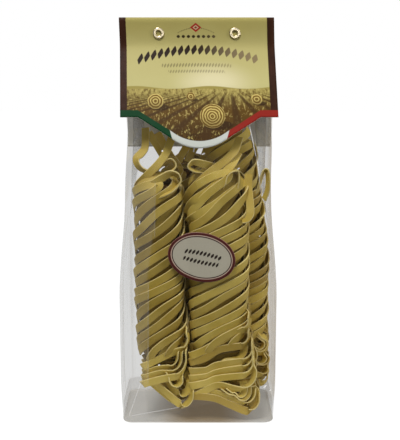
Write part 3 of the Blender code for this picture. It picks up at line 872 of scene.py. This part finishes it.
def make_film(material):
    """The film: rings from the base to the seal, with both ends closed."""
    rounding = BASE_EDGE_RADIUS * (1 - np.cos(np.linspace(0, math.pi / 2, 5)))
    z = np.concatenate([rounding, np.linspace(BASE_EDGE_RADIUS, FILM_TOP, 190)[1:]])
    points = film_ring(z)
    rows, columns = points.shape[:2]
    quads = grid_quads(rows, columns, wrap_columns=True)
    base_face = np.arange(columns)[::-1]
    top_face = np.arange(columns) + (rows - 1) * columns
    piece = mesh_piece("film", points, quads, [material], faces=[base_face, top_face])
    x, y, height = points[..., 0], points[..., 1], points[..., 2]
    base = 1 - ease(height, *BASE_FADE)
    # The strip left of the fold gets painted sheen; the base and its turned-up flap get real haze.
    fold_x, fold_z = np.array(FRONT_FOLD).T * MM
    fold = np.interp(height, fold_z, fold_x)
    left = (1 - ease(x, fold - FOLD_STRIP, fold)) * (y < FRONT_FACE) * (1 - ease(height, *FOLD_FADE))
    turned_up = (1 - ease(height, BASE_FLAP - BASE_FLAP_FADE, BASE_FLAP)) * (y > FRONT_FACE)
    give_value(piece, "layers", np.maximum(base, BASE_FLAP_LAYERS * turned_up))
    # base also marks where the painted shadow of the pasta is drawn.
    give_value(piece, "base", base)
    haze_and_painted_sheen = np.maximum(BASE_VEIL * base, BASE_FLAP_VEIL * turned_up)
    give_value(piece, "haze_and_painted_sheen", np.maximum(haze_and_painted_sheen, FOLD_PAINTED_SHEEN * left))
    sides = ease(np.abs(x), *WRINKLES_START) * ease(height, *WRINKLES_RISE)
    give_value(piece, "wrinkled", sides * np.where(x > 0, WRINKLES_RIGHT, WRINKLES_LEFT))
    return piece


def waves(rng, loops, samples, orders):
    """Smooth closed noise along each loop: a sum of sines of the given orders with random sizes."""
    t = np.linspace(0, 2 * math.pi, samples, endpoint=False)
    total = np.zeros((loops, samples))
    for order in orders:
        size = rng.normal(0, 1, (loops, 1))
        phase = rng.uniform(0, 2 * math.pi, (loops, 1))
        total += size * np.sin(order * t + phase)
    return total / math.sqrt(len(orders))


def path_directions(centre, normal, closed):
    """Directions along each path and sideways across its ribbon, at right angles to the normal."""
    if closed:
        along = unit(np.roll(centre, -1, axis=1) - np.roll(centre, 1, axis=1))
    else:
        along = unit(np.gradient(centre, axis=1))
    return along, unit(np.cross(along, normal))


def ribbon_points(centre, normal, width, thickness, closed=True):
    """Eight points round a flat ribbon's section at every sample of every path.

    The section is a rectangle with small chamfers, width across and thickness along the normal.
    """
    along, side = path_directions(centre, normal, closed)
    out = np.cross(side, along)
    across = np.array([-1, -0.9, 0.9, 1, 1, 0.9, -0.9, -1]) * 0.5
    through = np.array([-0.6, -1, -1, -0.6, 0.6, 1, 1, 0.6]) * 0.5
    return (centre[:, :, None] + side[:, :, None] * (width[..., None] * across)[..., None]
            + out[:, :, None] * (thickness * through)[:, None])


def ribbon_quads(paths, samples, closed=True):
    """Quads round and along each ribbon."""
    one = grid_quads(samples, 8, wrap_rows=closed, wrap_columns=True, turned=True)
    return (one[None] + np.arange(paths)[:, None, None] * samples * 8).reshape(-1, 4)


def section_edge(half_width, half_depth):
    """Edge of a hank's level section, |x / half_width| ^ p + |y / half_depth| ^ p = 1.

    Points and outward normals are at even steps of the edge's own length, from the +X side round.
    """
    angle = np.linspace(0, 2 * math.pi, SECTION_SAMPLES)
    cos, sin = np.cos(angle), np.sin(angle)
    reach = (np.abs(cos) ** SECTION_POWER + np.abs(sin) ** SECTION_POWER) ** (-1 / SECTION_POWER)
    x, y = half_width * cos * reach, half_depth * sin * reach
    length = np.concatenate([[0], np.cumsum(np.hypot(np.diff(x), np.diff(y)))])
    even = np.linspace(0, length[-1], SECTION_SAMPLES)
    x, y = np.interp(even, length, x), np.interp(even, length, y)
    steep = SECTION_POWER - 1
    normal = np.stack([np.sign(x) * np.abs(x / half_width) ** steep / half_width,
                       np.sign(y) * np.abs(y / half_depth) ** steep / half_depth], axis=-1)
    return np.stack([x, y], axis=-1), unit(normal)


def round_edge(table, angle):
    """Rows of a table of the section's edge, read at an angle."""
    turns = np.mod(angle / (2 * math.pi), 1)
    steps = np.linspace(0, 1, len(table))
    return np.stack([np.interp(turns, steps, column) for column in table.T], axis=-1)


def hank_paths(rng, half_width, half_depth, bottom, top, slack, turn, pitches, skew):
    """Centre lines, normals, ring angles and painted shade, darker for deeper loops, of the closed loops of
    one twisted hank.

    Each loop is a racetrack in an upright plane: two straight legs and a half-ellipse turn at each
    end. The planes stand side by side, the whole bundle is then turned about its upright axis by an
    angle that grows with height, and its round section is drawn out to a rounded oblong.
    """
    leg, arc = LEG_SAMPLES, TURN_SAMPLES
    samples = 2 * (leg + arc)
    ring = np.concatenate([np.full(leg, 0.0), np.linspace(0, math.pi, arc + 2)[1:-1],
                           np.full(leg, math.pi), np.linspace(math.pi, 2 * math.pi, arc + 2)[1:-1]])
    rise = np.concatenate([np.linspace(0, 1, leg), np.ones(arc), np.linspace(1, 0, leg), np.zeros(arc)])
    radii, angles, offsets = [], [], []
    for layer, (radius, count) in enumerate(HANK_LAYERS):
        angles.append((np.arange(count) + 0.5) / count * math.pi - math.pi / 2)
        radii.append(radius - LAYER_STAGGER * (np.arange(count) % 2))
        offsets.append(np.full(count, layer * math.pi / (2 * count)))
    angle = np.concatenate(angles)[:, None]
    radius = np.concatenate(radii)[:, None]
    offset = np.concatenate(offsets)[:, None]
    loops = len(angle)
    angle = angle + ANGLE_STRAY * waves(rng, loops, samples, (1, 2, 3, 5, 8))
    radius = radius * (1 + RADIUS_STRAY * waves(rng, loops, samples, (1, 2, 4, 7)))
    low = bottom + LOOP_LIFT + rng.uniform(-2, 2, (loops, 1)) * MM
    high = top - rng.uniform(0, 1, (loops, 1)) * slack
    end = np.where(np.sin(ring) >= 0, UPPER_TURN, LOWER_TURN)
    x = radius * np.cos(angle) * np.cos(ring)
    y = radius * np.sin(angle)
    z = low + (high - low) * rise + end * radius * np.cos(angle) * np.sin(ring)
    steps = np.linspace(bottom, top + UPPER_TURN, 400)
    pitch = np.interp(steps, np.linspace(bottom, top, len(pitches)), np.array(pitches) * MM)
    rate = 2 * math.pi / pitch * ease(steps, bottom + TWIST_START, bottom + TWIST_FULL)
    twist = np.concatenate([[0], np.cumsum(rate[1:] * np.diff(steps))])
    theta = offset + turn + np.interp(z, steps, twist)
    for size, length in TWIST_WOBBLES:
        theta = theta + size * np.sin(z / length + rng.uniform(0, 6))
    edge_points, edge_normals = section_edge(half_width, half_depth)
    level = np.hypot(x, y)[..., None] * round_edge(edge_points, np.arctan2(y, x) + theta)
    across = np.cos(angle) * np.cos(ring)
    outward = np.arctan2(np.sin(angle), across) + theta
    flat = np.hypot(across, np.sin(angle))[..., None] * round_edge(edge_normals, outward)
    raised = -skew * level[..., 0] * (1 - ease(z, bottom + SKEW_FULL, bottom + SKEW_END))
    centre = np.concatenate([level, (z + raised)[..., None]], axis=-1)
    normal = np.concatenate([flat, (np.cos(angle) * np.sin(ring))[..., None]], axis=-1)
    # The deeper a loop lies, the more painted shade it carries.
    return centre, unit(normal), ring, INNER_PAINTED_SHADE * (1 - radius.mean(axis=1))


def into_bag(points):
    """Points scaled in depth by how much of the body's depth is left inside the closing wedge."""
    x, y, z = points[..., 0], points[..., 1], points[..., 2]
    depth = bag_half_depth(np.clip(z, 5 * MM, FILM_TOP))
    y = y * np.maximum(depth - FILM_CLEARANCE, 0.1 * MM) / (BODY_HALF_DEPTH - FILM_CLEARANCE)
    return np.stack([x + lean(z), y, z], axis=-1)


def tilt(normal, centre, angle, closed=True):
    """Normals turned about the path's own direction."""
    side = path_directions(centre, normal, closed)[1]
    return unit(normal * np.cos(angle)[..., None] + side * np.sin(angle)[..., None])


def ribbons_mesh(name, rng, centre, normal, closed, material, inner):
    """Ribbons along all paths as one mesh, each with its own tone; inner, their painted shade, is 0
    outside, 1 deep inside.
    """
    paths, samples = centre.shape[:2]
    every_point = np.zeros((paths, samples, 8))
    width = RIBBON_WIDTH * (1 + 0.04 * waves(rng, paths, samples, (1, 3)))
    points = ribbon_points(centre, normal, width, RIBBON_THICKNESS, closed)
    first = np.arange(paths * 8).reshape(paths, 8)
    first = first % 8 + first // 8 * samples * 8
    ends = [] if closed else [*first, *(first[:, ::-1] + (samples - 1) * 8)]
    piece = mesh_piece(name, points, ribbon_quads(paths, samples, closed), [material], faces=ends, sharp=30)
    tone = np.clip(0.25 + 0.2 * rng.normal(0, 1, (paths, 1, 1)), 0, 1)
    give_value(piece, "tone", tone + every_point)
    # The narrow cut edges of each ribbon carry the painted highlight.
    give_value(piece, "edge", every_point + np.array([1, 0.1, 0.1, 1, 1, 0.1, 0.1, 1]))
    # inner is the painted shade of each ribbon.
    give_value(piece, "inner", np.reshape(inner, (paths, 1, 1)) + every_point)
    return piece


def make_hank(name, seed, place, size, bottom, top, slack, turn, pitches, skew, lap, shifts, material):
    """One twisted hank of ribbon pasta as a single mesh of closed ribbons."""
    rng = np.random.default_rng(seed)
    half_width, half_depth = size
    centre, normal, ring, inner = hank_paths(
        rng, half_width * MM, half_depth * MM, bottom * MM, top * MM, slack * MM, math.radians(turn),
        pitches, skew)
    shingle = -lap * np.cos(ring) + 0.1 * waves(rng, *centre.shape[:2], (2, 3, 5, 9))
    normal = tilt(normal, centre, shingle)
    heights, sideways = np.array(shifts).T * MM
    middle = np.stack([place[0] * MM + np.interp(centre[..., 2], heights, sideways),
                       np.full(centre.shape[:2], place[1] * MM), 0 * centre[..., 2]], axis=-1)
    return ribbons_mesh(name, rng, into_bag(centre + middle), normal, True, material, inner)


def smooth_curve(knots):
    """A Catmull-Rom spline through the knots."""
    knots = np.array(knots, dtype=float) * MM
    knots = np.concatenate([2 * knots[:1] - knots[1:2], knots, 2 * knots[-1:] - knots[-2:-1]])
    spans = len(knots) - 3
    place = np.linspace(0, spans - 1e-9, STRAY_SAMPLES)
    span = place.astype(int)
    t = (place - span)[:, None]
    a, b, c, d = (knots[span + step] for step in range(4))
    square, cube = 2 * a - 5 * b + 4 * c - d, 3 * b - a - 3 * c + d
    return 0.5 * (2 * b + (c - a) * t + square * t ** 2 + cube * t ** 3)


def loose_ribbons(name, seed, curves, facing, twists, inner, material):
    """Loose ribbons along curves, each facing one way and then turned about its path by angles.

    The angles, in degrees, are spread evenly from one end of a ribbon to the other.
    """
    rng = np.random.default_rng(seed)
    share = np.linspace(0, 1, STRAY_SAMPLES)
    turns = np.radians([np.interp(share, np.linspace(0, 1, len(twist)), twist) for twist in twists])
    centre = np.array(curves)
    normal = tilt(np.broadcast_to(facing, centre.shape), centre, turns, closed=False)
    return ribbons_mesh(name, rng, centre, normal, False, material, inner)


def hook(route, bend, size, sweep, depth, side):
    """Knots of a ribbon that comes round a hank's side, runs along a route and round an oval bend.

    Two knots before a route that starts near the side come round from behind it, and the last two
    leave the bend upwards and backwards.
    """
    angle = np.radians(np.linspace(*sweep, 5))
    arc = np.stack([bend[0] + size[0] * np.cos(angle), bend[1] + size[1] * np.sin(angle)], axis=1)
    flat = np.concatenate([np.array(route, dtype=float), arc])
    front = np.stack([flat[:, 0], np.linspace(*depth, len(flat)), flat[:, 1]], axis=1)
    out = np.array([np.cos(angle[-1] + math.pi / 2), np.sin(angle[-1] + math.pi / 2)])
    before = [[side, front[0, 1] + 9, front[0, 2] - 3], [side - 0.6, front[0, 1] + 3, front[0, 2] - 1]]
    after = [[front[-1, 0] + 2 * out[0] - 1, front[-1, 1] + 6, front[-1, 2] + 2 * out[1]],
             [front[-1, 0] + 3 * out[0] - 6, front[-1, 1] + 14, front[-1, 2] + 4 * out[1]]]
    return np.concatenate([before, front, after] if front[0, 0] < side + 6 else [front, after])


def make_lower_end(name, seed, axis, size, side, step, hooks, material):
    """Lower end of a hank: the turns of its ribbons, and two more copies of them further back.

    The section of the hank is centred on its axis, and a ribbon faces away from the axis there. The
    nearer copy is drawn darker, a painted shade.
    """
    rng = np.random.default_rng(seed)
    curves, facing, twists, inner = [], [], [], []
    for copy in range(LOWER_END_COPIES):
        for twist, *form in hooks:
            curve = smooth_curve(hook(*form, side))
            off = (curve[:, :2] / MM - axis) / size
            facing.append(unit(np.concatenate([off ** 3, 0 * off[:, :1]], axis=1)))
            shift = np.array([0, step, COPY_RISE]) + rng.uniform(-1.0, 1.0, 3)
            curves.append(curve + copy * shift * MM)
            twists.append(twist)
            # Painted shade on the nearer copy only.
            inner.append(COPY_PAINTED_SHADE * (copy == 1))
    return loose_ribbons(name, seed, curves, np.array(facing), twists, inner, material)


def make_strays(material):
    """Stray ribbons that lie loose on and between the hanks, facing the front."""
    curves = [smooth_curve(knots) for twist, knots in STRAYS]
    twists = [twist for twist, knots in STRAYS]
    inner = np.zeros(len(STRAYS))
    return loose_ribbons("stray_ribbons", STRAY_SEED, curves, (0, -1, 0), twists, inner, material)


def make_card(print_finish, inner_finish, rim_finish):
    """The card: one grid up the front, over the fold and down the back, thickened inwards."""
    columns, front_rows, fold_rows, back_rows = 121, 70, 7, 60
    corners = (-EAR_HALF_SPAN, -DIP_HALF_SPAN, DIP_HALF_SPAN, EAR_HALF_SPAN)
    x = np.unique(np.concatenate([np.linspace(-CARD_HALF_WIDTH, CARD_HALF_WIDTH, columns), corners]))
    fold_half = card_half(CARD_FOLD)
    share = np.linspace(0, 1, front_rows)[:, None]
    edge = card_front_edge(x)
    front_z = edge + (CARD_FOLD - edge) * share
    angle = np.linspace(0, math.pi, fold_rows + 2)[1:-1, None]
    fold_z = CARD_FOLD + (CARD_TOP - CARD_FOLD) * np.sin(angle) + 0 * x
    share = np.linspace(1, 0, back_rows)[:, None]
    back_z = BACK_EDGE_HEIGHT + (CARD_FOLD - BACK_EDGE_HEIGHT) * share + 0 * x
    z = np.concatenate([front_z, fold_z, back_z])
    y = np.concatenate([-card_half(front_z), -fold_half * np.cos(angle) + 0 * x, card_half(back_z)])
    points = np.stack([x + lean(z), y, z], axis=-1)
    piece = mesh_piece("card", points, grid_quads(*z.shape), [print_finish, inner_finish, rim_finish])
    give_value(piece, "across", (x + 0 * z) / MM)
    give_value(piece, "up", z / MM)
    give_value(piece, "rise", (z - np.where(y > 0, BACK_EDGE_HEIGHT, edge)) / MM)
    give_value(piece, "back", y > 0)
    thick = thicken(piece, CARD_THICKNESS, -1)
    thick.use_even_offset = True
    thick.material_offset = 1
    thick.material_offset_rim = 2
    return piece


def make_label(material):
    """The label: circles stretched to an oval, turned and laid on the front film, then thickened."""
    rings, spokes = 24, 96
    radius = np.linspace(0, 1, rings + 1)[1:, None]
    angle = np.linspace(0, 2 * math.pi, spokes, endpoint=False)
    u, v = radius * np.cos(angle), radius * np.sin(angle)
    across, up = LABEL_HALF_WIDTH * u, LABEL_HALF_HEIGHT * v
    x = LABEL_CENTRE_X + across * math.cos(LABEL_TURN) - up * math.sin(LABEL_TURN)
    z = LABEL_CENTRE_Z + across * math.sin(LABEL_TURN) + up * math.cos(LABEL_TURN)
    y = -(bag_half_depth(z) + bulge(x, z, FRONT_HANKS) + GAP)
    points = np.stack([x, y, z], axis=-1)
    quads = grid_quads(rings, spokes, wrap_columns=True)[:, ::-1]
    piece = mesh_piece("oval_label", points, quads, [material], faces=[np.arange(spokes)])
    steepness = np.hypot(u / LABEL_HALF_WIDTH, v / LABEL_HALF_HEIGHT) / radius
    give_value(piece, "across", across / MM)
    give_value(piece, "up", up / MM)
    give_value(piece, "inset", (1 - radius) / steepness / MM)
    thicken(piece, LABEL_THICKNESS, 1)
    return piece


def make_eyelet(name, node, material):
    """An eyelet: up the bore, over the rolled lip and down outside, turned about its axis."""
    low, high = (np.array(corner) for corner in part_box(node))
    middle = (low + high) / 2
    quarter = np.linspace(0, math.pi / 2, 8)
    inner = np.stack([EYELET_HOLE_RADIUS + EYELET_ROLL * (1 - np.cos(quarter)),
                      EYELET_HALF_GRIP + EYELET_ROLL * np.sin(quarter)], axis=1)
    outer = np.stack([EYELET_RADIUS - EYELET_ROLL * (1 - np.sin(quarter)),
                      EYELET_HALF_GRIP + EYELET_ROLL * np.cos(quarter)], axis=1)
    neck = np.array([[EYELET_HOLE_RADIUS + 0.5 * MM, EYELET_HALF_GRIP]])
    upper = np.concatenate([inner, outer, neck])
    section = np.concatenate([upper, upper[::-1] * (1, -1)])
    angle = np.linspace(0, 2 * math.pi, 64, endpoint=False)[:, None]
    points = middle + np.stack([section[:, 0] * np.cos(angle), section[:, 1] + 0 * angle,
                                section[:, 0] * np.sin(angle)], axis=-1)
    quads = grid_quads(64, len(section), wrap_rows=True, wrap_columns=True, turned=True)
    return mesh_piece(name, points, quads, [material], sharp=50)


def make_floor():
    """A plain pale floor, which ends just before the bag so that the film has nothing pale to mirror."""
    half, front, level = 6.0, -0.09, -0.3 * MM
    corners = ((-half, front), (half, front), (half, half), (-half, half))
    points = np.array([(x, y, level) for x, y in corners])
    finish = Finish("pale floor")
    grain = finish.noise(finish.place(), 40)
    finish.surface(Base_Color=finish.blend(grain, (0.11, 0.11, 0.11), (0.13, 0.13, 0.13)), Roughness=0.9,
                   Specular_IOR_Level=0.0, Emission_Color=(1, 1, 1), Emission_Strength=0.94)
    floor = mesh_piece("floor", points, np.array([[0, 1, 2, 3]]), [finish.material])


def add_softbox(name, place, aim, size, power):
    """An oblong area light at a place, turned towards aim."""
    lamp = bpy.data.lights.new(name, "AREA")
    lamp.shape = "RECTANGLE"
    lamp.size, lamp.size_y = size
    lamp.energy = power
    box = add_object(name, lamp)
    box.location = place
    direction = Vector(np.array(aim) - np.array(place))
    box.rotation_euler = direction.to_track_quat("-Z", "Y").to_euler()


def light_scene():
    """Soft studio light: a world that is white to the camera and brighter from above, and softboxes."""
    world = bpy.data.worlds.new("studio")
    bpy.context.scene.world = world
    world.use_nodes = True
    tree = world.node_tree
    back = tree.nodes["Background"]
    back.inputs["Color"].default_value = (1, 1, 1, 1)
    direction = tree.nodes.new("ShaderNodeTexCoord")
    parts = tree.nodes.new("ShaderNodeSeparateXYZ")
    tree.links.new(direction.outputs["Generated"], parts.inputs[0])
    rise = tree.nodes.new("ShaderNodeMapRange")
    for key, value in zip(("From Min", "From Max", "To Min", "To Max"), (*WORLD_RISE, *WORLD_STRENGTH)):
        rise.inputs[key].default_value = value
    tree.links.new(parts.outputs["Z"], rise.inputs["Value"])
    seen = tree.nodes.new("ShaderNodeLightPath")
    strength = tree.nodes.new("ShaderNodeMix")
    tree.links.new(seen.outputs["Is Camera Ray"], strength.inputs["Factor"])
    tree.links.new(rise.outputs[0], strength.inputs["A"])
    strength.inputs["B"].default_value = 1.0
    tree.links.new(strength.outputs["Result"], back.inputs["Strength"])
    for name, (place, aim, size, power) in SOFTBOXES.items():
        add_softbox(name, place, aim, size, power)


def place_camera():
    """The camera at the photo's viewing angle."""
    lens = bpy.data.cameras.new("camera")
    lens.sensor_width = SENSOR
    lens.lens = FOCAL_PX / PHOTO_HEIGHT_PX * SENSOR
    camera = add_object("camera", lens)
    camera.location = (
        CAMERA_AIM[0], CAMERA_AIM[1] - CAMERA_DISTANCE * math.cos(CAMERA_PITCH),
        CAMERA_AIM[2] + CAMERA_DISTANCE * math.sin(CAMERA_PITCH))
    camera.rotation_euler = (math.pi / 2 - CAMERA_PITCH, 0, 0)
    bpy.context.scene.camera = camera


def stand_for(piece, slot, *nodes):
    """A piece rides on the one body and takes the place of its solids."""
    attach(piece, "root")
    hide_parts(*nodes)


place_camera()
light_scene()
make_floor()
bpy.context.scene.view_settings.view_transform = "Standard"

pasta = pasta_finish()
metal = metal_finish()
for hank in HANKS:
    stand_for(make_hank(material=pasta, **hank), "film", "bag")
for end in LOWER_ENDS:
    stand_for(make_lower_end(material=pasta, **end), "film", "bag")
stand_for(make_strays(pasta), "film", "bag")
stand_for(make_film(film_finish()), "film", "bag")
inner_face = plain_finish("card inner face", (0.92, 0.90, 0.85), 0.6)
card_edge = plain_finish("card edge", (0.7, 0.68, 0.6), 0.7)
stand_for(make_card(card_finish(), inner_face, card_edge), "card", "header_card")
stand_for(make_label(label_finish()), "label", "label")
for side in ("left", "right"):
    stand_for(make_eyelet("ring_" + side, "eyelet_" + side, metal), "eyelet", "eyelet_" + side)
